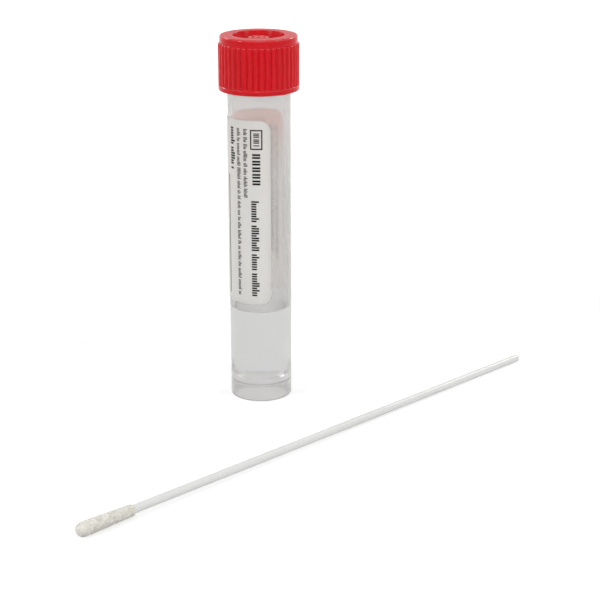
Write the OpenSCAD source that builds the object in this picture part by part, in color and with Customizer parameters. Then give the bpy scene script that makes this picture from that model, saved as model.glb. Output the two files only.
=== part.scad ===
// Self-standing screw-cap specimen tube with its label, 3 ml of transport medium and a collection swab.
// Millimetres, +Z up. The origin is the centre of the tube's foot, on the table.
// The swab lies on the same table, in front of the tube (towards -Y).

/* [Tube] */
// Outside diameter of the tube
tube_d = 16.5; // [13.6:0.1:20]
// Thickness of the tube's wall and of its skirt
tube_wall = 1.2; // [0.9:0.05:1.5]
// Height of the tube's rim above the table
tube_h = 95; // [79:0.5:115]
// Height of the inside floor where it meets the wall
floor_h = 6.3; // [5.2:0.1:7.6]
// Drop of the inside floor from its edge to its middle
floor_cone = 1.5; // [1.2:0.1:1.8]
// Thickness of the floor
floor_t = 1.5; // [1.2:0.1:1.8]
// Radius of the corner between the wall and the inside floor
floor_corner = 2; // [1.6:0.1:2.4]
// Rounding of the foot and of the rim
tube_round = 0.3; // [0.2:0.05:0.4]

/* [Thread] */
// Rise of the thread in one turn
thread_pitch = 3; // [2.5:0.1:3.6]
// Height of the thread's ridge
thread_ridge = 0.7; // [0.5:0.05:0.85]
// Radial room between the tube and the cap's bore
thread_room = 0.9; // [0.9:0.05:1.1]
// Width of the ridge at its foot
thread_foot_w = 1.5; // [1.2:0.05:1.8]
// Width of the ridge at its crest
thread_crest_w = 0.7; // [0.5:0.05:0.8]
// Turns of the ridge on the neck
neck_turns = 2; // [1.5:0.25:2.4]
// Turns of the ridge in the cap
cap_turns = 1.75; // [1.25:0.25:2]
// Distance from the rim down to the top end of the neck's ridge
neck_lead = 1.6; // [1.4:0.1:2]
// Distance from the cap's lower edge up to the bottom end of its ridge
cap_lead = 2.3; // [1.9:0.1:2.8]

/* [Cap] */
// Overall height of the cap
cap_h = 14.1; // [12.2:0.1:17]
// Wall of the cap between its bore and the feet of its ribs
cap_wall = 0.95; // [0.75:0.05:1.2]
// Thickness of the cap's deck over the gasket
deck_t = 2.1; // [1.7:0.1:2.6]
// Height of the plain band above the ribs
top_band_h = 2; // [1.6:0.1:2.4]
// Height of the plain band below the ribs
foot_band_h = 1.4; // [1.1:0.1:1.7]
// How far that lower band stands out beyond the ribs
foot_band_out = 0.04; // [0.03:0.01:0.08]
// Number of grip ribs
rib_n = 42; // [34:1:50]
// How far a rib stands out
rib_out = 0.38; // [0.3:0.02:0.46]
// Radius of a rib's rounded top
rib_r = 0.6; // [0.5:0.05:0.65]
// Rounding of the cap's top edge
rim_round = 0.45; // [0.3:0.05:0.6]
// Rounding of the cap's lower edge
foot_round = 0.3; // [0.2:0.05:0.4]

/* [Plug and recess] */
// Radial clearance between the plug and the tube's mouth
plug_gap = 0.08; // [0.06:0.01:0.1]
// Wall of the hollow plug
plug_wall = 0.9; // [0.75:0.05:1.1]
// Thickness of the plug's floor
plug_floor_t = 1.2; // [1:0.1:1.5]
// Depth of the recess in the top of the cap
recess_depth = 4.5; // [3.8:0.1:5.4]
// How much wider the recess is at its mouth than at its floor, on the radius
recess_flare = 0.63; // [0.5:0.01:0.65]
// Diameter of the drive hub in the recess
hub_d = 5.4; // [4.5:0.1:6.5]
// Distance from the cap's top down to the top of the hub
hub_drop = 0.65; // [0.5:0.05:0.8]
// Wall of the ring around the drive socket
hub_wall = 0.85; // [0.7:0.05:1]
// Thickness of the crossed ribs in the drive socket
cross_t = 0.8; // [0.65:0.05:0.95]
// Depth of the drive socket
socket_depth = 1.2; // [1:0.1:1.4]

/* [Gasket] */
// Thickness of the sealing ring between the rim and the deck
gasket_t = 0.9; // [0.75:0.05:1.1]

/* [Label] */
// Height of the label's lower edge above the table
label_z = 27.8; // [23:0.1:33]
// Distance from the cap's lower edge down to the label's upper edge
label_drop = 6.7; // [5.4:0.1:8]
// Thickness of the label
label_t = 0.1; // [0.08:0.01:0.12]
// Angle of the label's right-hand edge, anticlockwise from +X
label_from = 30; // [15:1:50]
// Angle that the label covers
label_arc = 260; // [212:1:306]
// Radius of the label's corners
label_corner = 2.8; // [2.3:0.1:3.4]

/* [Medium] */
// Height of the liquid's surface above the table
medium_h = 25.2; // [21:0.1:27]

/* [Swab] */
// Overall length of the swab
swab_len = 158; // [130:1:190]
// Diameter of the shaft at the tip
shaft_tip_d = 2.1; // [1.7:0.05:2.4]
// Diameter of the shaft at the handle end
shaft_end_d = 2; // [1.6:0.05:2.4]
// Length of the fibre tip
tip_len = 16.2; // [14:0.1:19]
// Largest diameter of the fibre tip
tip_d = 3.5; // [2.9:0.1:4.2]
// How much thinner the fibre tip is where it ends on the shaft, on the radius
tip_taper = 0.35; // [0.25:0.05:0.4]
// How deep the shaft reaches into the fibre tip
shaft_in_tip = 13; // [11:0.5:13.5]
// Place of the swab's middle along X
swab_x = 16.5; // [10:0.5:30]
// Place of the swab's middle along Y
swab_y = -33; // [-45:1:-26]
// Turn of the swab on the table, from the X axis
swab_turn = 43; // [20:1:55]

/* [Hidden] */
$fn = 96;

// Radii that the tube sets
tube_r = tube_d / 2;
mouth_r = tube_r - tube_wall;

// Radii and heights of the cap, built up from the tube
bore_r = tube_r + thread_room;
cap_r = bore_r + cap_wall;
grip_r = cap_r + rib_out;
foot_r = grip_r + foot_band_out;
deck_z = tube_h + gasket_t;
cap_top = deck_z + deck_t;
skirt_z = cap_top - cap_h;
ribs_from = skirt_z + foot_band_h;
ribs_to = cap_top - top_band_h;
plug_r = mouth_r - plug_gap;
recess_r = plug_r - plug_wall;
recess_mouth_r = recess_r + recess_flare;
recess_z = cap_top - recess_depth;
plug_z = recess_z - plug_floor_t;
hub_r = hub_d / 2;
hub_z = cap_top - hub_drop;
label_h = skirt_z - label_drop - label_z;

// Small chamfer at the recess's mouth and the plug's end
edge_cut = 0.25;
// How far a cut runs past the faces that it opens
over = 1;
// How far a piece of a moulding reaches into the rest of it
sunk = 0.1;

// Where both ridges start. The cap's runs half a pitch above the neck's, so they mesh at any turn
neck_thread_z = tube_h - neck_lead - neck_turns * thread_pitch;
cap_thread_z = skirt_z + cap_lead;
cap_thread_phase = 360 * (cap_thread_z - neck_thread_z) / thread_pitch + 180;
// Depth of a ridge's root inside its wall
thread_root = 0.3;
// Depth at which a ridge's faded end lies under the wall's surface
thread_sunk = 0.02;
// Sections of a ridge in one turn
thread_steps = 40;
// Angle over which a ridge rises from its end
thread_fade = 25;

// The ribs' outline starts inside the lower band, and is hollow up to half the cap's wall
ribs_foot = ribs_from - foot_band_h / 2;
ribs_hollow_r = cap_r - cap_wall / 2;

// The swab rests on the belly of its tip and on its handle end
tip_r = tip_d / 2;
tip_neck_r = tip_r - tip_taper;
// Length of the tip's widest stretch, behind its round nose
tip_widest_l = 2.2;
tip_belly = tip_r + tip_widest_l;
// Rounding of the tip where it ends on the shaft
tip_shoulder = 1.1;
shaft_from = tip_len - shaft_in_tip;
shaft_tip_r = shaft_tip_d / 2;
shaft_end_r = shaft_end_d / 2;
swab_lean = asin((tip_r - shaft_end_r) / (swab_len - shaft_end_r - tip_belly));

// Points along an arc from angle a0 to a1 about a centre
function arc(x, y, r, a0, a1, n = 8) =
    [for (i = [0:n]) let (a = a0 + (a1 - a0) * i / n) [x + r * cos(a), y + r * sin(a)]];

// Section of the inside of the tube, from the middle of the floor up past the rim.
// The corner is an arc between the sloping floor and the straight wall.
floor_slope = atan(floor_cone / mouth_r);
corner_x = mouth_r - floor_corner;
corner_y = floor_h - floor_cone + floor_corner / cos(floor_slope) + corner_x * tan(floor_slope);
hollow_section = concat(
    [[0, floor_h - floor_cone]],
    arc(corner_x, corner_y, floor_corner, floor_slope - 90, 0),
    [
        [mouth_r, tube_h - tube_round],
        [mouth_r + tube_round, tube_h],
        [mouth_r + tube_round, tube_h + over],
        [0, tube_h + over]
    ]
);

// Section of the open space under the floor, inside the skirt
under_corner = 1;
under_x = mouth_r - under_corner;
under_z = floor_h - floor_cone - floor_t;
under_y = under_z + under_x * tan(floor_slope) - under_corner / cos(floor_slope);
under_section = concat(
    [[0, -over], [mouth_r, -over]],
    arc(under_x, under_y, under_corner, 0, 90 + floor_slope),
    [[0, under_z]]
);

// Section of the tube's outside
outside_section = concat(
    [[0, 0]],
    arc(tube_r - tube_round, tube_round, tube_round, -90, 0, 4),
    arc(tube_r - tube_round, tube_h - tube_round, tube_round, 0, 90, 4),
    [[0, tube_h]]
);

// A solid through a list of four-cornered sections
module through(sections) {
    last = len(sections) - 1;
    sides = [
        for (i = [0:last - 1])
            for (j = [0:3])
                let (k = (j + 1) % 4, a = 4 * i, b = 4 * i + 4)
                    each [[a + j, b + j, b + k], [a + j, b + k, a + k]]
    ];
    ends = [[0, 1, 2, 3], [4 * last + 3, 4 * last + 2, 4 * last + 1, 4 * last]];
    polyhedron(points = [for (s = sections) each s], faces = concat(sides, ends), convexity = 10);
}

// A right-hand ridge: root is the radius inside the wall, foot the wall's own radius, crest the ridge's
module ridge(root, foot, crest, z, turns, phase) {
    steps = round(thread_steps * turns);
    foot_w = thread_foot_w / 2;
    crest_w = thread_crest_w / 2;
    way = sign(crest - root);
    root_w = foot_w + (foot_w - crest_w) * abs(foot - root) / abs(crest - foot);
    sections = [
        for (i = [0:steps])
            let (
                turned = 360 * turns * i / steps,
                left = 360 * turns - turned,
                grown = min(1, turned / thread_fade, left / thread_fade),
                a = phase + turned,
                zc = z + thread_pitch * turned / 360,
                r = foot + (crest - foot) * grown - way * thread_sunk * (1 - grown),
                w = crest_w + (foot_w - crest_w) * (1 - grown)
            )
            [
                for (p = [[root, -way * root_w], [root, way * root_w], [r, way * w], [r, -way * w]])
                    [p[0] * cos(a), p[0] * sin(a), zc + p[1]]
            ]
    ];
    through(sections);
}

module tube() {
    color([0.86, 0.86, 0.85, 0.5]) union() {
        difference() {
            rotate_extrude() polygon(outside_section);
            rotate_extrude() polygon(hollow_section);
            rotate_extrude() polygon(under_section);
        }
        ridge(tube_r - thread_root, tube_r, tube_r + thread_ridge, neck_thread_z, neck_turns, 0);
    }
}

// Outline of the ribbed grip, seen from above
module grip_outline() {
    circle(r = cap_r);
    for (i = [0:rib_n - 1])
        rotate(360 * i / rib_n)
            translate([grip_r - rib_r, 0]) circle(r = rib_r, $fn = 32);
}

// Section of the cap without its ribs, hub and thread
cap_section = concat(
    [[bore_r, skirt_z]],
    arc(foot_r - foot_round, skirt_z + foot_round, foot_round, -90, 0, 4),
    [[foot_r, ribs_from], [cap_r, ribs_from]],
    arc(cap_r - rim_round, cap_top - rim_round, rim_round, 0, 90, 6),
    [
        [recess_mouth_r + edge_cut, cap_top],
        [recess_mouth_r, cap_top - edge_cut],
        [recess_r + recess_flare / 2, deck_z],
        [recess_r, deck_z - recess_flare],
        [recess_r, recess_z],
        [0, recess_z],
        [0, plug_z],
        [plug_r - edge_cut, plug_z],
        [plug_r, plug_z + 2 * edge_cut],
        [plug_r, deck_z],
        [bore_r, deck_z]
    ]
);

module cap() {
    color([0.8, 0.1, 0.13]) union() {
        rotate_extrude() polygon(cap_section);
        translate([0, 0, ribs_foot])
            difference() {
                linear_extrude(ribs_to - ribs_foot) grip_outline();
                translate([0, 0, -over]) cylinder(r = ribs_hollow_r, h = cap_h);
            }
        drive_hub();
        ridge(bore_r + thread_root, bore_r, bore_r - thread_ridge,
            cap_thread_z, cap_turns, cap_thread_phase);
    }
}

// Round boss in the recess, with a crossed socket for a capping tool
module drive_hub() {
    difference() {
        translate([0, 0, recess_z - sunk]) cylinder(r = hub_r, h = hub_z - recess_z + sunk);
        translate([0, 0, hub_z - socket_depth])
            difference() {
                cylinder(r = hub_r - hub_wall, h = socket_depth + over);
                for (a = [45, 135])
                    rotate(a)
                        translate([-hub_r, -cross_t / 2, -over])
                            cube([hub_d, cross_t, socket_depth + 3 * over]);
            }
    }
}

module cap_gasket() {
    color([0.93, 0.93, 0.92])
        translate([0, 0, tube_h])
            difference() {
                cylinder(r = tube_r, h = gasket_t);
                translate([0, 0, -over]) cylinder(r = mouth_r, h = gasket_t + 2 * over);
            }
}

// What is cut off one corner of the label: side is -1 at its start, end is -1 at its foot.
// Its arc bites a little past both edges, so that it leaves no sliver.
module corner_offcut(side, end) {
    bite = 0.02;
    edge_a = side < 0 ? label_from : label_from + label_arc;
    edge_z = end < 0 ? label_z : label_z + label_h;
    reach = label_corner - bite;
    past = label_corner + over;
    round_corner = concat(arc(0, 0, label_corner, 0, 90), [[0, past], [past, past], [past, 0]]);
    translate([0, 0, edge_z - end * reach])
        rotate(edge_a - side * asin(reach / (tube_r + label_t)))
            rotate([90, 0, 90])
                linear_extrude(tube_d) polygon([for (p = round_corner) [side * p[0], end * p[1]]]);
}

module label() {
    color([0.93, 0.93, 0.92])
        difference() {
            rotate(label_from)
                rotate_extrude(angle = label_arc)
                    translate([tube_r, label_z]) square([label_t, label_h]);
            for (side = [-1, 1])
                for (end = [-1, 1])
                    corner_offcut(side, end);
        }
}

module medium() {
    color([0.85, 0.87, 0.88, 0.6])
        intersection() {
            rotate_extrude() polygon(hollow_section);
            cylinder(r = tube_r, h = medium_h);
        }
}

// Puts a swab that stands on its tip end along +Z down on the table where it lies
module lay_swab() {
    translate([swab_x, swab_y, 0])
        rotate(swab_turn)
            translate([tip_belly - swab_len / 2, 0, tip_r])
                rotate([0, 90 + swab_lean, 0])
                    translate([0, 0, -tip_belly])
                        children();
}

module shaft_rod() {
    rotate_extrude()
        polygon(concat(
            [[0, shaft_from], [shaft_tip_r, shaft_from]],
            arc(0, swab_len - shaft_end_r, shaft_end_r, 0, 90)
        ));
}

module swab_shaft() {
    color([0.9, 0.9, 0.9]) lay_swab() shaft_rod();
}

tip_section = concat(
    arc(0, tip_r, tip_r, -90, 0),
    [[tip_r, tip_belly]],
    arc(tip_neck_r - tip_shoulder, tip_len - tip_shoulder, tip_shoulder, 0, 90, 4),
    [[0, tip_len]]
);

module swab_tip() {
    color([0.9, 0.88, 0.84])
        lay_swab()
            difference() {
                rotate_extrude() polygon(tip_section);
                shaft_rod();
            }
}

tube();
cap();
cap_gasket();
label();
medium();
swab_shaft();
swab_tip();
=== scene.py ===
import math
import random
from collections import namedtuple

import bpy
from mathutils import Matrix, Vector, noise


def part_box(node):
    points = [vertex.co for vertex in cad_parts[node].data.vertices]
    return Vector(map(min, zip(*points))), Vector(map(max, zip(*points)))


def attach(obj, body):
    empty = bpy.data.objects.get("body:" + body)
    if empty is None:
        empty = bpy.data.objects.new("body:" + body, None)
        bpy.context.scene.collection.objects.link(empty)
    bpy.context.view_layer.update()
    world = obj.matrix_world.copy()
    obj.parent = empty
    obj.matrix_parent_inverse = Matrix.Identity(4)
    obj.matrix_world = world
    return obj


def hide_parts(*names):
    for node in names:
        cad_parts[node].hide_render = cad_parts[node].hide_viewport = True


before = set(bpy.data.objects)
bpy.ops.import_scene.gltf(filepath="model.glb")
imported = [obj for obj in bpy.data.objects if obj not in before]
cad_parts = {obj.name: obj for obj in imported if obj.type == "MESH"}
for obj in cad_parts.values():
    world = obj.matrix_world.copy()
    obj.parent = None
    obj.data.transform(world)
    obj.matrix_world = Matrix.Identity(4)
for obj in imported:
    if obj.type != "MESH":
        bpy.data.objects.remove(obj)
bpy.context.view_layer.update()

MM = 0.001
TURN = 2 * math.pi

# ---------------------------------------------------------------- sizes, from the frame
TUBE_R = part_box("cap_gasket")[1].x
MOUTH_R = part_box("medium")[1].x
TUBE_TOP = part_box("tube")[1].z
DECK_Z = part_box("cap_gasket")[1].z
FLOOR_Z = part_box("medium")[0].z
LIQUID_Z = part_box("medium")[1].z
CAP_LOW, CAP_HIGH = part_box("cap")[0].z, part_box("cap")[1].z
FOOT_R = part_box("cap")[1].x
LABEL_LOW, LABEL_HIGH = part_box("label")[0].z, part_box("label")[1].z
LABEL_R = -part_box("label")[0].x
TIP_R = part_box("swab_tip")[1].z / 2

# The same sizes as in the construction, where the frame's boxes don't give them
FLOOR_EDGE = 1.5 * MM
FLOOR_THICK = 1.5 * MM
FLOOR_CORNER = 2.0 * MM
EDGE = 0.3 * MM
PITCH = 3.0 * MM
RIDGE = 0.7 * MM
RIDGE_FOOT = 1.5 * MM
RIDGE_CREST = 0.7 * MM
NECK_TURNS, CAP_TURNS = 2.0, 1.75
NECK_LEAD, CAP_LEAD = 1.6 * MM, 2.3 * MM
BORE_R = TUBE_R + 0.9 * MM
CAP_R = BORE_R + 0.95 * MM
RIBS = 42
RIB_OUT, RIB_ROUND = 0.38 * MM, 0.6 * MM
FOOT_BAND, TOP_BAND = 1.4 * MM, 2.0 * MM
RIM_ROUND = 0.45 * MM
PLUG_R = MOUTH_R - 0.08 * MM
RECESS_R = PLUG_R - 0.9 * MM
RECESS_MOUTH_R = RECESS_R + 0.63 * MM
RECESS_Z = CAP_HIGH - 4.5 * MM
PLUG_Z = RECESS_Z - 1.2 * MM
HUB_R, HUB_Z = 2.7 * MM, CAP_HIGH - 0.65 * MM
HUB_WALL, CROSS, SOCKET = 0.85 * MM, 0.8 * MM, 1.2 * MM
LABEL_FROM, LABEL_ARC = math.radians(30), math.radians(260)
LABEL_CORNER = 2.8 * MM
LABEL_MID = LABEL_FROM + LABEL_ARC / 2
SHAFT_TIP_R, SHAFT_END_R = 1.05 * MM, 1.0 * MM
TIP_LEN, TIP_NECK_R = 16.2 * MM, 1.4 * MM

# Sizes that the construction doesn't have: the rounding under the floor, how far the medium climbs the wall
# and from where, and the part of the wall that the label's glue wets, with its rows of points
UNDER_CORNER = 1.0 * MM
CLIMB, CLIMB_REACH = 0.6 * MM, 1.5 * MM
WET_Z = LIQUID_Z + CLIMB / 2
GLUE_GAP = 0.12 * MM
GLUE_ROWS = [LABEL_LOW + GLUE_GAP + LABEL_CORNER * k / 8 for k in range(9)]
GLUE_ROWS += [LABEL_LOW + LABEL_HIGH - z for z in reversed(GLUE_ROWS)]

# Two places nearer than CLOSE, in metres or radians, are the same. SHARP is in degrees.
# Only the barrel's two walls are taller than TALL_WALL. LONG_WALL tells the cap's bore and grip from the
# short runs at the same radius.
CLOSE = 1e-6
SHARP, BUD_SHARP = 32, 80
TALL_WALL, LONG_WALL = 50 * MM, 4 * MM
# How fine the meshes are, and the small sizes that only they have
TUBE_COLUMNS, THREAD_STEP = 288, 0.12 * MM
RIB_COLUMNS, RIB_STEPS, BORE_STEPS = 14, 7, 56
RIB_END, RIB_BLEND, RIB_MARGIN = 0.45 * MM, 0.45 * MM, 0.06 * MM
HUB_COLUMNS, HUB_SUNK, HUB_SOFT = 96, 0.15 * MM, 0.07 * MM
POCKET_STEPS = 12
MEDIUM_COLUMNS, MEDIUM_STEPS, MEDIUM_SUNK = 192, 14, 0.015 * MM
ROD_COLUMNS, ROD_STEPS, ROD_END_STEPS, ROD_START = 48, 40, 10, 4 * MM
BUD_COLUMNS, BUD_LEVELS = 96, 180
FIBRES, FIBRE_ROOT = 2600, 0.11 * MM
COARSE_LUMP, COARSE_LUMP_SIZE = 0.09 * MM, 0.9 * MM
FINE_LUMP, FINE_LUMP_SIZE = 0.07 * MM, 0.28 * MM


# ---------------------------------------------------------------- mesh helpers
def clamp(x, low=0.0, high=1.0):
    return max(low, min(high, x))


def smooth(x):
    """A soft step from 0 to 1."""
    x = clamp(x)
    return x * x * (3 - 2 * x)


def rounded(corners, steps=6):
    """Points of an outline through (radius, height, rounding) corners, each rounding as an arc."""
    points = []
    for i, (x, z, r) in enumerate(corners):
        here = Vector((x, z))
        if r == 0 or i in (0, len(corners) - 1):
            points.append(here)
            continue
        before = (Vector(corners[i - 1][:2]) - here).normalized()
        after = (Vector(corners[i + 1][:2]) - here).normalized()
        half = before.angle(after) / 2
        middle = here + (before + after).normalized() * r / math.sin(half)
        start, end = here + before * r / math.tan(half), here + after * r / math.tan(half)
        a, b = start - middle, end - middle
        sweep = a.angle_signed(b)
        for k in range(steps + 1):
            turned = a.copy()
            turned.rotate(Matrix.Rotation(-sweep * k / steps, 2))
            points.append(middle + turned)
    return points


def finished(name, verts, faces, sharp=SHARP):
    """An object of these points and faces, shaded smooth but for edges sharper than an angle in degrees."""
    mesh = bpy.data.meshes.new(name)
    mesh.from_pydata(verts, [], faces)
    mesh.validate()
    mesh.shade_smooth()
    mesh.set_sharp_from_angle(angle=math.radians(sharp))
    piece = bpy.data.objects.new(name, mesh)
    bpy.context.scene.collection.objects.link(piece)
    return piece


def lathe(name, outline, columns, shape=None):
    """A closed turned body from an outline that starts and ends on the axis; shape may move each point."""
    verts, rows = [], []
    for p in outline:
        if abs(p.x) < CLOSE:
            rows.append([len(verts)] * columns)
            verts.append((0, 0, p.y))
            continue
        rows.append(list(range(len(verts), len(verts) + columns)))
        for c in range(columns):
            a = TURN * c / columns
            r = shape(p.x, p.y, a) if shape else p.x
            verts.append((r * math.cos(a), r * math.sin(a), p.y))
    faces = []
    for low, high in zip(rows, rows[1:]):
        for c in range(columns):
            d = (c + 1) % columns
            quad = [low[c], low[d], high[d], high[c]]
            faces.append(list(dict.fromkeys(quad)))
    return finished(name, verts, faces)


def on_cylinder(r, angle, z):
    """A point at a radius, an angle and a height."""
    return (r * math.cos(angle), r * math.sin(angle), z)


def sheet_patch(verts, faces, outline_rows, inner, outer):
    """A thin curved patch between two radii, from rows of (angle, low z, high z)."""
    levels = 8
    start = len(verts)
    for r in (outer, inner):
        for a, low, high in outline_rows:
            verts += [on_cylinder(r, a, low + (high - low) * k / levels) for k in range(levels + 1)]
    wide, tall = len(outline_rows), levels + 1

    def spot(side, i, k):
        return start + (side * wide + i) * tall + k

    for i in range(wide - 1):
        for k in range(levels):
            faces.append([spot(0, i, k), spot(0, i + 1, k), spot(0, i + 1, k + 1), spot(0, i, k + 1)])
            faces.append([spot(1, i, k + 1), spot(1, i + 1, k + 1), spot(1, i + 1, k), spot(1, i, k)])
        faces.append([spot(1, i, 0), spot(1, i + 1, 0), spot(0, i + 1, 0), spot(0, i, 0)])
        faces.append([spot(0, i, levels), spot(0, i + 1, levels), spot(1, i + 1, levels), spot(1, i, levels)])
    for i, flip in ((0, False), (wide - 1, True)):
        for k in range(levels):
            quad = [spot(1, i, k), spot(0, i, k), spot(0, i, k + 1), spot(1, i, k + 1)]
            faces.append(quad[::-1] if flip else quad)


def patch_rows(a0, a1, low, high, corner, r, step=math.radians(2)):
    """Rows of a patch with rounded corners: more of them where the corners curve."""
    bite = corner / r
    angles = {a0 + bite * (1 - math.cos(math.pi / 2 * k / 6)) for k in range(7)} if corner else {a0}
    angles |= {a1 - (a - a0) for a in angles}
    n = max(1, math.ceil((a1 - a0 - 2 * bite) / step))
    angles |= {a0 + bite + (a1 - a0 - 2 * bite) * k / n for k in range(n + 1)}
    rows = []
    for a in sorted(angles):
        near = min(a - a0, a1 - a) * r
        cut = corner - math.sqrt(max(0, corner ** 2 - (corner - near) ** 2)) if near < corner else 0
        if not rows or a - rows[-1][0] > CLOSE:
            rows.append((a, low + cut, high - cut))
    return rows


# ---------------------------------------------------------------- screw thread
def ridge_at(angle, z, start, turns, phase=0.0, fade=math.radians(30)):
    """Height of the thread's ridge at a point of its wall, from 0 to 1."""
    best = 0.0
    turned = (angle - phase) % TURN
    while turned <= turns * TURN:
        off = abs(z - start - PITCH * turned / TURN)
        flank = smooth((RIDGE_FOOT / 2 - off) / (RIDGE_FOOT - RIDGE_CREST) * 2)
        ends = smooth(min(turned, turns * TURN - turned) / fade)
        best = max(best, flank * ends)
        turned += TURN
    return best


NECK_START = TUBE_TOP - NECK_LEAD - NECK_TURNS * PITCH
CAP_START = CAP_LOW + CAP_LEAD
CAP_PHASE = TURN * (CAP_START - NECK_START) / PITCH + math.pi


# ---------------------------------------------------------------- pieces
def make_tube():
    """The tube, with its thread, and with rows of points where its looks change."""
    outline = rounded([
        (0, FLOOR_Z - FLOOR_THICK, 0),
        (MOUTH_R, FLOOR_Z - FLOOR_THICK + FLOOR_EDGE, UNDER_CORNER),
        (MOUTH_R, 0, EDGE * 0.8),
        (TUBE_R, 0, EDGE),
        (TUBE_R, TUBE_TOP, EDGE),
        (MOUTH_R, TUBE_TOP, EDGE),
        (MOUTH_R, FLOOR_Z + FLOOR_EDGE, FLOOR_CORNER),
        (0, FLOOR_Z, 0),
    ])
    low = NECK_START - RIDGE_FOOT
    high = NECK_START + NECK_TURNS * PITCH + RIDGE_FOOT / 2
    cut = []
    for a, b in zip(outline, outline[1:]):
        cut.append(a)
        if abs(b.y - a.y) < TALL_WALL:
            continue
        if max(a.x, b.x) < MOUTH_R + EDGE:
            cut += [Vector((MOUTH_R, z)) for z in [*reversed(GLUE_ROWS), WET_Z]]
        if min(a.x, b.x) > MOUTH_R + EDGE:
            cut += [Vector((TUBE_R, z)) for z in [WET_Z, *GLUE_ROWS]]
            n = math.ceil((high - low) / THREAD_STEP)
            cut += [Vector((TUBE_R, low + (high - low) * k / n)) for k in range(n + 1)]
    cut.append(outline[-1])

    def shape(r, z, a):
        if r < TUBE_R - CLOSE or not low < z < high:
            return r
        return r + RIDGE * ridge_at(a, z, NECK_START, NECK_TURNS)

    return lathe("tube_body", cut, TUBE_COLUMNS, shape)


def rib_radius(angle):
    """Outer radius of the ribbed grip, a round-topped rib every TURN / RIBS; 0 between the ribs."""
    off = (angle + TURN / RIBS / 2) % (TURN / RIBS) - TURN / RIBS / 2
    middle = CAP_R + RIB_OUT - RIB_ROUND
    reach = RIB_ROUND ** 2 - (middle * math.sin(off)) ** 2
    return middle * math.cos(off) + math.sqrt(reach) if reach > 0 else 0.0


def soft_max(a, b, k):
    """The larger of two lengths, with a smooth change from one to the other over about k."""
    h = clamp(0.5 + (a - b) / (2 * k))
    return b + (a - b) * h + k * h * (1 - h)


def make_cap():
    """The cap without its drive boss: plug, thread, bands, ribs with round upper ends, and recess."""
    ribs_low, ribs_high = CAP_LOW + FOOT_BAND, CAP_HIGH - TOP_BAND
    outline = rounded([
        (0, PLUG_Z, 0),
        (PLUG_R, PLUG_Z, 0.35 * MM),
        (PLUG_R, DECK_Z, 0),
        (BORE_R, DECK_Z, 0.2 * MM),
        (BORE_R, CAP_LOW, 0.15 * MM),
        (FOOT_R, CAP_LOW, EDGE),
        (FOOT_R, ribs_low, 0.25 * MM),
        (CAP_R, ribs_low, 0.12 * MM),
        (CAP_R, CAP_HIGH, RIM_ROUND),
        (RECESS_MOUTH_R, CAP_HIGH, 0.2 * MM),
        (RECESS_R + 0.1 * MM, DECK_Z - 0.5 * MM, 0.8 * MM),
        (RECESS_R, RECESS_Z, 0.3 * MM),
        (0, RECESS_Z, 0),
    ])
    cut = []
    for a, b in zip(outline, outline[1:]):
        cut.append(a)
        long = abs(b.y - a.y) > LONG_WALL
        if long and abs(a.x - BORE_R) < CLOSE:
            cut += [a.lerp(b, k / BORE_STEPS) for k in range(1, BORE_STEPS)]
        if long and abs(a.x - CAP_R) < CLOSE:
            quarter = [math.pi / 2 * k / RIB_STEPS for k in range(RIB_STEPS, -1, -1)]
            cut += [Vector((CAP_R, (ribs_low + ribs_high) / 2))]
            cut += [Vector((CAP_R, ribs_high - RIB_END * (1 - math.cos(t)))) for t in quarter]
            cut += [Vector((CAP_R, ribs_high + RIB_MARGIN))]
    cut.append(outline[-1])

    def shape(r, z, a):
        if r > CAP_R - CLOSE and ribs_low - CLOSE <= z <= ribs_high:
            rise = clamp((ribs_high - z) / RIB_END)
            rib = CAP_R + (rib_radius(a) - CAP_R) * math.sqrt(1 - (1 - rise) ** 2)
            return soft_max(r, rib, RIB_BLEND)
        if abs(r - BORE_R) < CLOSE:
            return r - RIDGE * ridge_at(a, z, CAP_START, CAP_TURNS, CAP_PHASE)
        return r

    return lathe("cap_shell", cut, RIBS * RIB_COLUMNS, shape)


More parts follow.
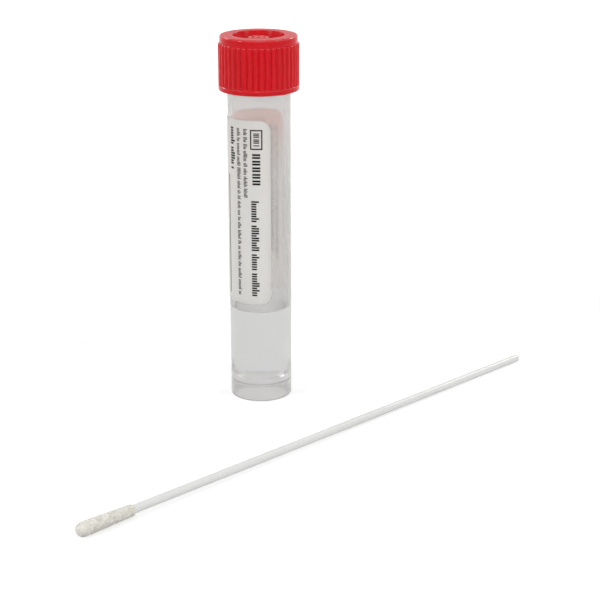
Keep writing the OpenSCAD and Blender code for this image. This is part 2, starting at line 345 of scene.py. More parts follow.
def make_hub():
    """The drive boss in the recess: a round body with four wedge pockets cut in, and softened edges."""
    n = HUB_COLUMNS
    turns = [TURN * c / n for c in range(n)]
    verts = [on_cylinder(HUB_R, a, z) for z in (RECESS_Z - HUB_SUNK, HUB_Z) for a in turns]
    faces = [[c, (c + 1) % n, n + (c + 1) % n, n + c] for c in range(n)]
    faces.append(list(reversed(range(n))))
    faces.append(list(range(n, 2 * n)))
    boss = finished("cap_hub", verts, faces)
    pocket_r = HUB_R - HUB_WALL
    inset = math.asin(CROSS / 2 / pocket_r)
    corner = CROSS / 2 * math.sqrt(2)
    verts, faces = [], []
    for q in range(4):
        mid = TURN * q / 4
        sweep = TURN / 4 - 2 * inset
        rim = [mid - TURN / 8 + inset + sweep * k / POCKET_STEPS for k in range(POCKET_STEPS + 1)]
        flat = [(corner * math.cos(mid), corner * math.sin(mid))]
        flat += [(pocket_r * math.cos(a), pocket_r * math.sin(a)) for a in rim]
        start, n = len(verts), len(flat)
        for z in (HUB_Z - SOCKET, HUB_Z + 1 * MM):
            verts += [(x, y, z) for x, y in flat]
        faces.append([start + k for k in reversed(range(n))])
        faces.append([start + n + k for k in range(n)])
        for k in range(n):
            m = (k + 1) % n
            faces.append([start + k, start + m, start + n + m, start + n + k])
    cutter = finished("pockets", verts, faces)
    cut = boss.modifiers.new("pockets", "BOOLEAN")
    cut.operation, cut.solver, cut.object = "DIFFERENCE", "EXACT", cutter
    soften = boss.modifiers.new("soft_edges", "BEVEL")
    soften.width, soften.segments = HUB_SOFT, 2
    soften.limit_method, soften.angle_limit = "ANGLE", math.radians(50)
    baked = bpy.data.meshes.new_from_object(boss.evaluated_get(bpy.context.evaluated_depsgraph_get()))
    boss.modifiers.clear()
    boss.data = baked
    baked.shade_smooth()
    baked.set_sharp_from_angle(angle=math.radians(SHARP))
    bpy.data.objects.remove(cutter)
    return boss


def make_label():
    """The label: a thin sheet bent round the barrel, with rounded corners."""
    verts, faces = [], []
    rows = patch_rows(LABEL_FROM, LABEL_FROM + LABEL_ARC, LABEL_LOW, LABEL_HIGH, LABEL_CORNER, LABEL_R)
    sheet_patch(verts, faces, rows, TUBE_R - 0.01 * MM, LABEL_R)
    return finished("label_sheet", verts, faces)


def make_liquid():
    """The medium, with the curved edge that it has where it wets the wall."""
    wall_r = MOUTH_R + MEDIUM_SUNK
    n = MEDIUM_STEPS
    meniscus = [
        Vector((wall_r - CLIMB_REACH * k / n, WET_Z + CLIMB * ((1 - k / n) ** 3 - 1)))
        for k in range(n + 1)
    ]
    outline = rounded([
        (0, FLOOR_Z - MEDIUM_SUNK, 0),
        (wall_r, FLOOR_Z + FLOOR_EDGE, FLOOR_CORNER),
        (wall_r, WET_Z, 0),
    ]) + meniscus[1:] + [Vector((0, meniscus[-1].y))]
    return lathe("medium_liquid", outline, MEDIUM_COLUMNS)


# ---------------------------------------------------------------- swab
TIP_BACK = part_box("swab_tip")[0]
SHAFT_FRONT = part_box("swab_shaft")[1]
NOSE = Vector((TIP_BACK.x + TIP_R, TIP_BACK.y + TIP_R, TIP_R))
HANDLE = Vector((SHAFT_FRONT.x - SHAFT_END_R, SHAFT_FRONT.y - SHAFT_END_R, SHAFT_END_R))
SWAB_AXIS = (HANDLE - NOSE).normalized()
SWAB_LEN = (HANDLE - NOSE).length + TIP_R + SHAFT_END_R
SWAB_TURN = SWAB_AXIS.to_track_quat("Z", "Y").to_matrix().to_4x4()
SWAB_PLACE = Matrix.Translation(NOSE - SWAB_AXIS * TIP_R) @ SWAB_TURN


def tip_radius(along):
    """Radius of the fibre bud at a distance from its end."""
    if along < TIP_R:
        return math.sqrt(max(0, TIP_R ** 2 - (TIP_R - along) ** 2))
    if along > TIP_LEN:
        return 0.0
    belly = TIP_R + 2.2 * MM
    share = clamp((along - belly) / (TIP_LEN - belly))
    r = TIP_R + (TIP_NECK_R - TIP_R) * share
    left = TIP_LEN - along
    shoulder = 0.9 * MM
    if left < shoulder:
        r -= shoulder - math.sqrt(max(0, shoulder ** 2 - (shoulder - left) ** 2))
    return r


def make_rod():
    """The shaft: it starts inside the bud, tapers a little, and has a round far end."""
    outline = [Vector((0, ROD_START)), Vector((SHAFT_TIP_R, ROD_START))]
    last = SWAB_LEN - SHAFT_END_R
    taper = SHAFT_END_R - SHAFT_TIP_R
    for k in range(1, ROD_STEPS + 1):
        r = SHAFT_TIP_R + taper * k / ROD_STEPS
        outline.append(Vector((r, ROD_START + (last - ROD_START) * k / ROD_STEPS)))
    for k in range(1, ROD_END_STEPS + 1):
        a = math.pi / 2 * k / ROD_END_STEPS
        outline.append(Vector((SHAFT_END_R * math.cos(a), last + SHAFT_END_R * math.sin(a))))
    outline[-1].x = 0
    rod = lathe("swab_rod", outline, ROD_COLUMNS)
    rod.data.transform(SWAB_PLACE)
    return rod


def make_bud():
    """The fibre bud: a lumpy body under a layer of short curved fibres."""
    rng = random.Random(7)
    skin = 0.12 * MM
    beside = Vector((9, 0, 0)) * MM
    verts, faces = [], []
    columns, levels = BUD_COLUMNS, BUD_LEVELS
    for i in range(levels + 1):
        along = 0.02 * MM + (TIP_LEN - 0.04 * MM) * i / levels
        r = tip_radius(along) - skin
        for c in range(columns):
            a = TURN * c / columns
            p = Vector((math.cos(a) * r, math.sin(a) * r, along))
            lump = COARSE_LUMP * noise.noise(p / COARSE_LUMP_SIZE)
            lump += FINE_LUMP * noise.noise((p + beside) / FINE_LUMP_SIZE)
            verts.append(on_cylinder(max(0.05 * MM, r + lump), a, along))
    for i in range(levels):
        for c in range(columns):
            d = (c + 1) % columns
            low, high = i * columns, (i + 1) * columns
            faces.append([low + c, low + d, high + d, high + c])
    faces.append(list(reversed(range(columns))))
    faces.append([levels * columns + c for c in range(columns)])
    for _ in range(FIBRES):
        fibre(rng, verts, faces)
    bud = finished("swab_bud", verts, faces, BUD_SHARP)
    bud.data.transform(SWAB_PLACE)
    for v in bud.data.vertices:
        v.co.z = max(v.co.z, 0.01 * MM)
    return bud


def fibre(rng, verts, faces):
    """One short fibre: a thin three-sided tube that arcs over the surface and dips back in."""
    along = rng.uniform(0.1 * MM, TIP_LEN - 0.3 * MM)
    a = rng.uniform(0, TURN)
    heading = rng.gauss(math.pi / 2, 0.7)
    length = rng.uniform(0.8, 2.0) * MM
    lift = rng.uniform(-0.02, 0.1) * MM
    thick = rng.uniform(0.016, 0.028) * MM
    curl = rng.uniform(-0.5, 0.5)
    steps, sides = 6, 3
    path = []
    for k in range(steps + 1):
        t = k / steps
        s = (t - 0.5) * length
        h = heading + curl * (t - 0.5)
        z = clamp(along + s * math.cos(h), 0.03 * MM, TIP_LEN - 0.05 * MM)
        r = tip_radius(z) - FIBRE_ROOT + lift * 4 * t * (1 - t)
        angle = a + s * math.sin(h) / max(r, 0.5 * MM)
        path.append(Vector((r * math.cos(angle), r * math.sin(angle), z)))
    start = len(verts)
    for k, p in enumerate(path):
        ahead = (path[min(k + 1, steps)] - path[max(k - 1, 0)]).normalized()
        up = Vector((p.x, p.y, 0)).normalized()
        side = ahead.cross(up).normalized()
        fat = thick * (1 - 0.6 * abs(2 * k / steps - 1) ** 3)
        for j in range(sides):
            w = TURN * j / sides
            verts.append(tuple(p + (side * math.cos(w) + up * math.sin(w)) * fat))
    for k in range(steps):
        for j in range(sides):
            m = (j + 1) % sides
            low, high = start + k * sides, start + (k + 1) * sides
            faces.append([low + j, high + j, high + m, low + m])
    faces.append([start, start + 1, start + 2])
    faces.append([start + steps * sides + 2, start + steps * sides + 1, start + steps * sides])


# ---------------------------------------------------------------- label print
# The direction of -Y, in the same turn as the label's own angles
FRONT = -math.pi / 2 + TURN


def at(degrees):
    """An angle on the label, from the front, positive to the right."""
    return FRONT + math.radians(degrees)


def block(verts, faces, a0, a1, low, high, r0, r1):
    """A small plain block of ink between two angles and two heights, bent round the tube."""
    start = len(verts)
    n = max(1, math.ceil((a1 - a0) / math.radians(1.5)))
    for k in range(n + 1):
        a = a0 + (a1 - a0) * k / n
        corners = (r1, low), (r1, high), (r0, high), (r0, low)
        verts += [on_cylinder(r, a, z) for r, z in corners]
    for k in range(n):
        here, there = start + 4 * k, start + 4 * k + 4
        for j in range(4):
            m = (j + 1) % 4
            faces.append([here + j, there + j, there + m, here + m])
    faces.append([start, start + 1, start + 2, start + 3])
    faces.append([start + 4 * n + 3, start + 4 * n + 2, start + 4 * n + 1, start + 4 * n])


# How a line of print is set: the fewest and most bars in a word, the gap after a word, the height of a
# bar, the step from bar to bar in bar heights, and the share of the bars that take the whole width
Print = namedtuple("Print", "word gap stroke pitch tall")
SMALL = Print((3, 9), 0.4 * MM, 0.2 * MM, 1.75, 0.3)
HEADING = Print((6, 8), 0.6 * MM, 0.46 * MM, 1.45, 0.35)
BOXED = Print((3, 3), 0.3 * MM, 0.26 * MM, 1.6, 1.0)
BOLD_CODE = Print((2, 2), 0.24 * MM, 0.5 * MM, 1.5, 1.0)
BOLD = Print((5, 11), 0.7 * MM, 0.42 * MM, 1.55, 0.3)
BACK_HEADING = Print((3, 5), 0.6 * MM, 0.42 * MM, 1.5, 0.3)
SHORT_BAR = 0.68


def words(verts, faces, rng, middle, width, high, low, kind, r0, r1):
    """A line of print that runs down the label, as groups of plain bars on one base line; no lettering."""
    base = middle - width / LABEL_R / 2
    z = high
    while z > low + kind.stroke:
        for _ in range(rng.randint(*kind.word)):
            if z - kind.stroke < low:
                break
            reach = 1.0 if rng.random() < kind.tall else SHORT_BAR
            block(verts, faces, base, base + reach * width / LABEL_R, z - kind.stroke, z, r0, r1)
            z -= kind.stroke * kind.pitch
        z -= kind.gap


def frame_box(verts, faces, a0, a1, low, high, line, r0, r1):
    """A rectangle drawn with a line of even width; the flat sides reach a little into the upright ones."""
    wide = line / LABEL_R
    left, right = a0 + wide * 0.9, a1 - wide * 0.9
    for b0, b1, z0, z1 in (
        (a0, a0 + wide, low, high),
        (a1 - wide, a1, low, high),
        (left, right, low, low + line),
        (left, right, high - line, high),
    ):
        sheet_patch(verts, faces, patch_rows(b0, b1, z0, z1, line * 0.3, LABEL_R), r0, r1)


# The label's print, in degrees round the tube from the front and millimetres above the table
PRINT_TOP, PRINT_LOW = 75.0, 29.7
FAR_TOP, FAR_WIDTH = 73.0, 1.0
FAR_LINES = (-159, 33), (-167, 48), (-175, 41), (-183, 56), (-204, 38), (-216, 35.4)
FRONT_ROWS = [
    # middle, width, high, low, kind: a heading in bold, and two lines of small print
    (-55.4, 1.7, PRINT_TOP, 63.8, HEADING),
    (-40, 1.1, PRINT_TOP, 30.0, SMALL),
    (-26, 1.1, PRINT_TOP, 56.7, SMALL),
    # what stands in the outlined box, and the bold print in a row below it
    (-5.7, 1.5, 74.0, 70.4, BOXED),
    (-6, 2.1, 68.6, 59.6, BOLD_CODE),
    (-8.8, 2.0, 56.1, 29.9, BOLD),
]
BACK_HEADINGS = -92, -113, -134


def make_print():
    """The print: bars, fill-in lines and outlined boxes, a hair proud of the label."""
    depths = (LABEL_R - 0.01 * MM, LABEL_R + 0.012 * MM)
    rng = random.Random(11)
    verts, faces = [], []

    def line(angle0, angle1, high):
        block(verts, faces, at(angle0), at(angle1), PRINT_LOW * MM, high * MM, *depths)

    def rows(lines):
        for angle, width, high, low, kind in lines:
            words(verts, faces, rng, at(angle), width * MM, high * MM, low * MM, kind, *depths)

    rows(FRONT_ROWS[:1])
    line(-71.2, -68.6, 62.2)
    rows(FRONT_ROWS[1:3])
    frame_box(verts, faces, at(-16.7), at(5.3), 69.7 * MM, 74.9 * MM, 0.32 * MM, *depths)
    rows(FRONT_ROWS[3:])
    # the part that wraps round the back: more fill-in lines, each with its heading
    for angle in BACK_HEADINGS:
        rows([(angle, 1.5, PRINT_TOP, 66.5, BACK_HEADING)])
        line(angle - 4.6, angle - 2.4, 65.2)
    frame_box(verts, faces, at(-190), at(-152), 30.5 * MM, 74.6 * MM, 0.3 * MM, *depths)
    rows([(angle, FAR_WIDTH, FAR_TOP, end, SMALL) for angle, end in FAR_LINES])
    return finished("label_print", verts, faces)


def make_painted_show_through():
    """Painted shade: faint grey rows on the label's inner face, where the clear wall shows it.

    They stand for the far side's print seen through the sheet; there is no print on that face.
    """
    inside = (TUBE_R - 0.022 * MM, TUBE_R - 0.012 * MM)
    rng = random.Random(12)
    verts, faces = [], []
    for angle, end in FAR_LINES:
        words(verts, faces, rng, at(angle), FAR_WIDTH * MM, FAR_TOP * MM, end * MM, SMALL, *inside)
    return finished("print_show_through_painted_shade", verts, faces)


# ---------------------------------------------------------------- materials
PLASTIC_IOR, LIQUID_IOR = 1.49, 1.335


def material(name):
    """A new material, with its nodes, its links and its main shader."""
    mat = bpy.data.materials.new(name)
    mat.use_nodes = True
    nodes, links = mat.node_tree.nodes, mat.node_tree.links
    return mat, nodes, links, nodes["Principled BSDF"]


def grain(nodes, links, scale, detail=4.0, stretch=(1, 1, 1)):
    """Noise in the object's own coordinates, in cycles per metre."""
    where = nodes.new("ShaderNodeTexCoord")
    fit = nodes.new("ShaderNodeMapping")
    fit.inputs["Scale"].default_value = stretch
    field = nodes.new("ShaderNodeTexNoise")
    field.inputs["Scale"].default_value = scale
    field.inputs["Detail"].default_value = detail
    links.new(where.outputs["Object"], fit.inputs["Vector"])
    links.new(fit.outputs["Vector"], field.inputs["Vector"])
    return field


def spread(nodes, links, field, low, high, socket):
    """Drives a number from a noise field, between two values."""
    fit = nodes.new("ShaderNodeMapRange")
    fit.inputs["From Min"].default_value, fit.inputs["From Max"].default_value = 0.3, 0.7
    fit.inputs["To Min"].default_value, fit.inputs["To Max"].default_value = low, high
    links.new(field.outputs["Fac"], fit.inputs["Value"])
    links.new(fit.outputs["Result"], socket)


def tint(nodes, links, field, dark, light, socket):
    """Drives a colour from a noise field, between two colours."""
    ramp = nodes.new("ShaderNodeValToRGB")
    ramp.color_ramp.elements[0].position, ramp.color_ramp.elements[1].position = 0.35, 0.65
    ramp.color_ramp.elements[0].color = (*dark, 1)
    ramp.color_ramp.elements[1].color = (*light, 1)
    links.new(field.outputs["Fac"], ramp.inputs["Fac"])
    links.new(ramp.outputs["Color"], socket)


def bump(nodes, links, field, height, socket):
    """Relief of a real height in metres."""
    relief = nodes.new("ShaderNodeBump")
    relief.inputs["Strength"].default_value = 1.0
    relief.inputs["Distance"].default_value = height
    links.new(field.outputs["Fac"], relief.inputs["Height"])
    links.new(relief.outputs["Normal"], socket)


def surface(name, colour, dark, light, rough=None, relief=None):
    """A material whose colour varies as a cloudy grain between two colours.

    colour is what grain() takes. rough is the same for the roughness, and its two values. relief is the
    same for the relief, and its height.
    """
    mat, nodes, links, skin = material(name)
    tint(nodes, links, grain(nodes, links, *colour), dark, light, skin.inputs["Base Color"])
    if rough:
        spread(nodes, links, grain(nodes, links, *rough[0]), *rough[1], skin.inputs["Roughness"])
    if relief:
        bump(nodes, links, grain(nodes, links, *relief[0]), relief[1], skin.inputs["Normal"])
    return mat, nodes, links, skin


def tube_plastic(name, dark, light, clear, rough, bend=PLASTIC_IOR, seen_share=1.0):
    """Clear plastic with a slight haze: clear is the share of light that passes a face unscattered."""
    relief = (260, 2, (1, 1, 0.25)), 0.0006 * MM
    mat, _, _, skin = surface(name, (90, 2, (1, 1, 0.3)), dark, light, ((400, 3), rough), relief)
    skin.inputs["Transmission Weight"].default_value = clear
    skin.inputs["IOR"].default_value = bend
    skin.inputs["Alpha"].default_value = seen_share
    return mat


def glued_plastic():
    """The wall where the label's glue wets it: no haze, so the label shows through at full strength."""
    dark, light = (0.80, 0.79, 0.78), (0.86, 0.85, 0.84)
    mat, _, _, skin = surface("tube_glued_look", (90, 2), dark, light, ((400, 3), (0.08, 0.12)))
    skin.inputs["Alpha"].default_value = 0.05
    return mat


# The places of the looks in TUBE_LOOKS. OUTER and LOW are the outer wall above and below the liquid line,
# and UNDER is the underside of the floor. LOW is the same plastic as OUTER, painted lighter to make up for
# the shade of the floor that is seen through it.
OUTER, INNER, GLUED, SKIRT, WET, FLOOR, UNDER, LOW = range(8)
HALF_WALL, NEAR_FLOOR = 0.6 * MM, 0.1 * MM
# The least upward share of the normal that a face of the wet wall may have
LEAST_UP = -0.2


def wall_look(face):
    """Which of TUBE_LOOKS a face of the tube has."""
    angle = math.atan2(face.center.y, face.center.x)
    off = abs((angle - LABEL_MID + math.pi) % TURN - math.pi)
    from_side = (LABEL_ARC / 2 - off) * TUBE_R - GLUE_GAP
    from_end = min(face.center.z - GLUE_ROWS[0], GLUE_ROWS[-1] - face.center.z)
    past = math.hypot(max(0, LABEL_CORNER - from_side), max(0, LABEL_CORNER - from_end))
    if min(from_side, from_end) > 0 and past < LABEL_CORNER:
        return GLUED
    if math.hypot(face.center.x, face.center.y) > TUBE_R - HALF_WALL:
        return OUTER if face.center.z > WET_Z else LOW
    if face.center.z < FLOOR_Z - NEAR_FLOOR:
        return UNDER if face.center.z > FLOOR_Z - FLOOR_THICK - NEAR_FLOOR else SKIRT
    if face.center.z < FLOOR_Z + FLOOR_EDGE + FLOOR_CORNER:
        return FLOOR
    return WET if face.center.z < WET_Z and face.normal.z > LEAST_UP else INNER


def cap_plastic(name, shine, rough):
    """Moulded red plastic: light goes a little way into it, and shine sets how much it mirrors."""
    dark, light = (0.612, 0.003, 0.009), (0.632, 0.004, 0.011)
    mat, _, _, skin = surface(name, (300,), dark, light, ((900,), rough), ((2500, 2), 0.0004 * MM))
    skin.inputs["Subsurface Weight"].default_value = 0.5
    skin.inputs["Subsurface Radius"].default_value = (1.0, 0.2, 0.15)
    skin.inputs["Subsurface Scale"].default_value = 1.2 * MM
    skin.inputs["Specular IOR Level"].default_value = shine
    return mat


# The places of the looks in CAP_LOOKS. A face is flat where its normal's upward share is over FLAT, and
# upright where it is under UPRIGHT.
CAP_PLAIN, CAP_RING, CAP_EDGE = range(3)
FLAT, UPRIGHT = 0.97, 0.1


def cap_look(face):
    """The satin look is on the flat ring on top, and the glossy one on the outer edges that face up."""
    if face.normal.z > FLAT and face.center.z > CAP_HIGH - EDGE:
        return CAP_RING
    outside = math.hypot(face.center.x, face.center.y) > CAP_R - RIM_ROUND
    return CAP_EDGE if outside and UPRIGHT < face.normal.z < FLAT else CAP_PLAIN


def gasket_rubber():
    dark, light = (0.80, 0.80, 0.78), (0.86, 0.86, 0.84)
    return surface("gasket_look", (800,), dark, light, ((1500,), (0.45, 0.6)))[0]


def let_light_through(nodes, links, skin, share, colour):
    """A sheet thin enough to glow with the light behind it; colour is a colour or a socket that gives one."""
    glow = nodes.new("ShaderNodeBsdfTranslucent")
    if isinstance(colour, tuple):
        glow.inputs["Color"].default_value = (*colour, 1)
    else:
        links.new(colour, glow.inputs["Color"])
    both = nodes.new("ShaderNodeMixShader")
    both.inputs["Fac"].default_value = share
    links.new(skin.outputs[0], both.inputs[1])
    links.new(glow.outputs[0], both.inputs[2])
    links.new(both.outputs[0], nodes["Material Output"].inputs["Surface"])


def label_film():
    dark, light = (0.69, 0.682, 0.665), (0.72, 0.712, 0.695)
    rough, relief = ((2500,), (0.45, 0.6)), ((6000, 3), 0.003 * MM)
    mat, nodes, links, skin = surface("label_look", (1200, 6), dark, light, rough, relief)
    let_light_through(nodes, links, skin, 0.58, (0.92, 0.93, 0.92))
    return mat


FLUSH_REACH, CLOUD_SHARE = 16 * MM, 0.3


def label_back():
    """The gummed side, which the clear wall shows: whiter, with a flush painted near the top.

    The flush stands for the light that the red cap throws there. It is on the half towards +Y, and it
    stays when the cap is off.
    """
    mat, nodes, links, skin = material("label_back_look")
    where = nodes.new("ShaderNodeTexCoord")
    split = nodes.new("ShaderNodeSeparateXYZ")
    links.new(where.outputs["Object"], split.inputs["Vector"])
    height = nodes.new("ShaderNodeMapRange")
    height.interpolation_type = "SMOOTHSTEP"
    height.inputs["From Min"].default_value = LABEL_HIGH - FLUSH_REACH
    height.inputs["From Max"].default_value = LABEL_HIGH
    links.new(split.outputs["Z"], height.inputs["Value"])
    far = nodes.new("ShaderNodeMapRange")
    far.interpolation_type = "SMOOTHSTEP"
    far.inputs["From Min"].default_value, far.inputs["From Max"].default_value = 0, LABEL_R / 2
    links.new(split.outputs["Y"], far.inputs["Value"])
    flush = nodes.new("ShaderNodeMath")
    flush.operation = "MULTIPLY"
    links.new(height.outputs["Result"], flush.inputs[0])
    links.new(far.outputs["Result"], flush.inputs[1])
    cloud = grain(nodes, links, 220, 2)
    both = nodes.new("ShaderNodeMath")
    both.operation = "MULTIPLY_ADD"
    both.inputs[1].default_value = CLOUD_SHARE
    links.new(cloud.outputs["Fac"], both.inputs[0])
    links.new(flush.outputs[0], both.inputs[2])
    ramp = nodes.new("ShaderNodeValToRGB")
    ramp.color_ramp.elements[0].position, ramp.color_ramp.elements[1].position = 0.1, 1.0
    ramp.color_ramp.elements[0].color = (0.995, 0.985, 0.975, 1)
    ramp.color_ramp.elements[1].color = (1.0, 0.74, 0.69, 1)
    links.new(both.outputs[0], ramp.inputs["Fac"])
    links.new(ramp.outputs["Color"], skin.inputs["Base Color"])
    spread(nodes, links, grain(nodes, links, 2500), 0.5, 0.7, skin.inputs["Roughness"])
    let_light_through(nodes, links, skin, 0.6, ramp.outputs["Color"])
    return mat


def label_side(face):
    """0 on the printed side, 1 on the gummed side."""
    return 1 if face.normal.x * face.center.x + face.normal.y * face.center.y < 0 else 0


def ink_and_painted_shade(name, dark, light):
    mat, _, _, skin = surface(name, (3000, 2), dark, light, ((2500,), (0.4, 0.6)))
    skin.inputs["Specular IOR Level"].default_value = 0.15
    return mat


def liquid(name, seen_share, clear):
    """A water-like liquid: seen_share is how much of its surface is drawn, and clear is as for the tube."""
    mat, _, _, skin = surface(name, (60, 2), (0.985, 0.99, 0.99), (0.995, 1.0, 1.0))
    skin.inputs["Roughness"].default_value = 0.02
    skin.inputs["Transmission Weight"].default_value = clear
    skin.inputs["IOR"].default_value = LIQUID_IOR
    skin.inputs["Alpha"].default_value = seen_share
    return mat


# The least upward share of the normal on the medium's top, curved edge included
TOP_UP = 0.05


def medium_look(face):
    """0 on the medium's top, 1 on its side and its foot."""
    return 0 if face.normal.z > TOP_UP and face.center.z > WET_Z - 2 * CLIMB else 1


def shaft_plastic():
    dark, light = (0.75, 0.752, 0.74), (0.77, 0.772, 0.76)
    rough, relief = ((1200,), (0.26, 0.32)), ((3000, 2), 0.0008 * MM)
    return surface("shaft_look", (500, 3), dark, light, rough, relief)[0]


def tip_fibre():
    dark, light = (0.78, 0.76, 0.69), (0.93, 0.91, 0.86)
    mat, _, _, skin = surface("fibre_look", (1800, 5), dark, light, relief=((9000, 4), 0.03 * MM))
    skin.inputs["Roughness"].default_value = 0.9
    skin.inputs["Sheen Weight"].default_value = 0.25
    return mat


# ---------------------------------------------------------------- build
def dress(piece, looks, body, replaces=(), which=None):
    """Gives a piece its looks and the body it rides on; which picks the look of each face."""
    piece.data.materials.clear()
    for look in looks:
        piece.data.materials.append(look)
    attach(piece, body)
    if replaces:
        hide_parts(*replaces)
    if which:
        for face in piece.data.polygons:
            face.material_index = which(face)


CLEAR_DARK, CLEAR_LIGHT = (0.97, 0.967, 0.963), (0.985, 0.982, 0.978)
WET_DARK, WET_LIGHT = (0.975, 0.985, 0.985), (0.985, 0.995, 0.995)
# Where the medium wets the wall the two bend light as one surface, so the medium's own side isn't seen. The
# share that is seen is low at the floor: the haze of the real plastic hides most of what the floor bends.
WET_BEND = PLASTIC_IOR / LIQUID_IOR
TUBE_LOOKS = [
    tube_plastic("tube_outer_look", (0.605, 0.592, 0.583), (0.635, 0.622, 0.613), 0.8, (0.14, 0.2)),
    tube_plastic("tube_inner_look", CLEAR_DARK, CLEAR_LIGHT, 0.98, (0.08, 0.12)),
    glued_plastic(),
    tube_plastic("tube_skirt_look", (0.78, 0.77, 0.76), (0.81, 0.80, 0.79), 0.75, (0.2, 0.26)),
    tube_plastic("tube_wet_look", WET_DARK, WET_LIGHT, 0.98, (0.04, 0.06), WET_BEND),
    tube_plastic("tube_floor_look", WET_DARK, WET_LIGHT, 0.98, (0.04, 0.06), WET_BEND, 0.45),
    tube_plastic("tube_under_look", CLEAR_DARK, CLEAR_LIGHT, 0.98, (0.03, 0.05), PLASTIC_IOR, 0.5),
    # the outer wall below the liquid line: painted lighter than the outer look, for the floor's shade seen
    # through it
    tube_plastic("tube_low_painted_lighter_look", (0.69, 0.682, 0.678), (0.72, 0.712, 0.708), 0.8, (0.14, 0.2)),
]
RED = cap_plastic("cap_plastic_look", 0.14, (0.15, 0.18))
CAP_LOOKS = [
    RED,
    cap_plastic("cap_ring_look", 0.075, (0.26, 0.32)),
    cap_plastic("cap_edge_look", 0.5, (0.08, 0.1)),
]
MEDIUM_LOOKS = [liquid("liquid_look", 0.7, 0.3), liquid("liquid_side_look", 0.0, 1.0)]
INK = ink_and_painted_shade("ink_look", (0.008, 0.006, 0.007), (0.03, 0.025, 0.027))
# painted shade, not ink: the grey of the far side's print as it shows through the label
PAINTED_SHOW_THROUGH = ink_and_painted_shade("painted_show_through_look", (0.42, 0.41, 0.40), (0.52, 0.51, 0.50))

dress(make_tube(), TUBE_LOOKS, "tube_and_swab", ["tube"], wall_look)
dress(make_cap(), CAP_LOOKS, "cap", ["cap"], cap_look)
dress(make_hub(), [RED], "cap", [])
dress(make_label(), [label_film(), label_back()], "tube_and_swab", ["label"], label_side)
dress(make_print(), [INK], "tube_and_swab")
# the painted shade of the far print, on the label's inner face
dress(make_painted_show_through(), [PAINTED_SHOW_THROUGH], "tube_and_swab")
dress(make_liquid(), MEDIUM_LOOKS, "tube_and_swab", ["medium"], medium_look)
dress(make_rod(), [shaft_plastic()], "tube_and_swab", ["swab_shaft"])
dress(make_bud(), [tip_fibre()], "tube_and_swab", ["swab_tip"])
# the gasket keeps its mesh from the construction
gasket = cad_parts["cap_gasket"]
gasket.data.materials.clear()
gasket.data.materials.append(gasket_rubber())


# ---------------------------------------------------------------- stage
# Far off the floor glows nearly as white as the sky. Near the object its glow is weak, to keep the shadow.
FLOOR_SIZE, FLOOR_DROP = 6, 0.02 * MM
FLOOR_GLOW, FAR_GLOW = 0.55, 0.95
GLOW_NEAR, GLOW_FAR = 0.12, 0.6
SKY = 0.22
# Name, degrees round from the front, degrees up, width in metres, power in watts
LAMPS = [
    ("lamp_left", -57, 26, 0.06, 3.3),
    ("lamp_right", 57, 26, 0.06, 3.3),
    ("lamp_front", 0, 38, 0.4, 1.7),
    ("lamp_back_left", -135, 35, 0.2, 1.4),
    ("lamp_back_right", 135, 35, 0.2, 1.4),
]
LAMP_DISTANCE, LAMP_AIM = 0.9, Vector((0, 0, 0.05))
# Place in metres, and degrees below level and towards +X
CAMERA_LENS, CAMERA_PLACE = 93.7, (0, -0.400, 0.162)
CAMERA_DOWN, CAMERA_ASIDE = 18.75, 1.52


def seen(nodes, links):
    """1 for what the eye sees straight, in a gloss or through the clear plastic; 0 for light that falls."""
    path = nodes.new("ShaderNodeLightPath")
    first = nodes.new("ShaderNodeMath")
    first.operation = "MAXIMUM"
    links.new(path.outputs["Is Camera Ray"], first.inputs[0])
    links.new(path.outputs["Is Glossy Ray"], first.inputs[1])
    both = nodes.new("ShaderNodeMath")
    both.operation = "MAXIMUM"
    links.new(first.outputs[0], both.inputs[0])
    links.new(path.outputs["Is Transmission Ray"], both.inputs[1])
    return both.outputs[0]


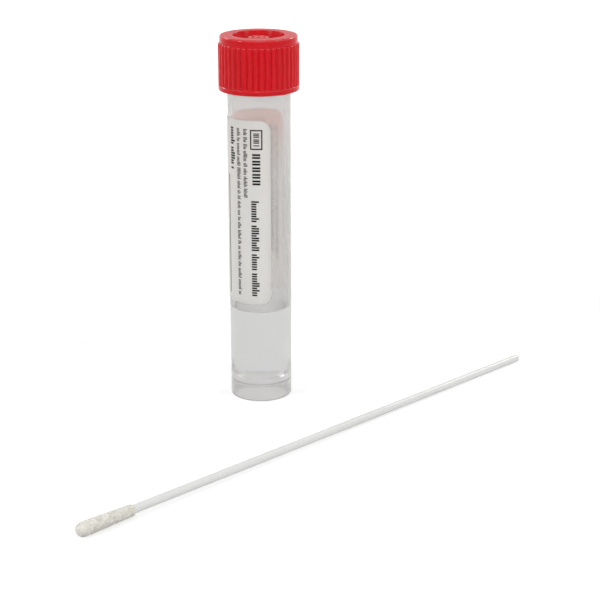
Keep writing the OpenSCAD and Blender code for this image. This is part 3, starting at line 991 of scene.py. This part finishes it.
def make_floor():
    """A pale floor that takes shadows, and that is seen nearly white some way off from the object."""
    bpy.ops.mesh.primitive_plane_add(size=FLOOR_SIZE, location=(0, 0, -FLOOR_DROP))
    floor = bpy.context.object
    floor.name = "floor"
    mat, nodes, links, skin = material("floor_look")
    skin.inputs["Base Color"].default_value = (0.6, 0.6, 0.6, 1)
    skin.inputs["Roughness"].default_value = 0.9
    skin.inputs["Specular IOR Level"].default_value = 0.0
    glow = nodes.new("ShaderNodeEmission")
    where = nodes.new("ShaderNodeTexCoord")
    reach = nodes.new("ShaderNodeVectorMath")
    reach.operation = "LENGTH"
    links.new(where.outputs["Object"], reach.inputs[0])
    level = nodes.new("ShaderNodeMapRange")
    level.interpolation_type = "SMOOTHSTEP"
    level.inputs["From Min"].default_value = GLOW_NEAR
    level.inputs["From Max"].default_value = GLOW_FAR
    level.inputs["To Min"].default_value = FLOOR_GLOW
    level.inputs["To Max"].default_value = FAR_GLOW
    links.new(reach.outputs["Value"], level.inputs["Value"])
    share = nodes.new("ShaderNodeMath")
    share.operation = "MULTIPLY"
    links.new(level.outputs["Result"], share.inputs[1])
    links.new(seen(nodes, links), share.inputs[0])
    links.new(share.outputs[0], glow.inputs["Strength"])
    both = nodes.new("ShaderNodeAddShader")
    links.new(skin.outputs[0], both.inputs[0])
    links.new(glow.outputs[0], both.inputs[1])
    links.new(both.outputs[0], nodes["Material Output"].inputs["Surface"])
    floor.data.materials.append(mat)


def make_world():
    """A sky that is seen white, and lights the object at the strength SKY."""
    world = bpy.data.worlds.new("studio")
    bpy.context.scene.world = world
    world.use_nodes = True
    nodes, links = world.node_tree.nodes, world.node_tree.links
    sky = nodes["Background"]
    sky.inputs["Color"].default_value = (1, 1, 1, 1)
    level = nodes.new("ShaderNodeMapRange")
    level.inputs["To Min"].default_value = SKY
    level.inputs["To Max"].default_value = 1.0
    links.new(seen(nodes, links), level.inputs["Value"])
    links.new(level.outputs["Result"], sky.inputs["Strength"])


def lamp(name, azimuth, elevation, size, power):
    """A round lamp that looks at LAMP_AIM from LAMP_DISTANCE away."""
    data = bpy.data.lights.new(name, "AREA")
    data.shape, data.size, data.energy = "DISK", size, power
    thing = bpy.data.objects.new(name, data)
    bpy.context.scene.collection.objects.link(thing)
    a, e = math.radians(azimuth), math.radians(elevation)
    way = Vector((math.sin(a) * math.cos(e), -math.cos(a) * math.cos(e), math.sin(e)))
    thing.location = LAMP_AIM + way * LAMP_DISTANCE
    thing.rotation_euler = way.to_track_quat("Z", "Y").to_euler()


def make_camera():
    camera = bpy.data.objects.new("camera", bpy.data.cameras.new("camera"))
    camera.data.lens = CAMERA_LENS
    camera.location = CAMERA_PLACE
    camera.rotation_euler = (math.radians(90 - CAMERA_DOWN), 0, math.radians(-CAMERA_ASIDE))
    bpy.context.scene.collection.objects.link(camera)
    bpy.context.scene.camera = camera


make_floor()
make_world()
for setting in LAMPS:
    lamp(*setting)
make_camera()
bpy.context.scene.view_settings.view_transform = "Standard"
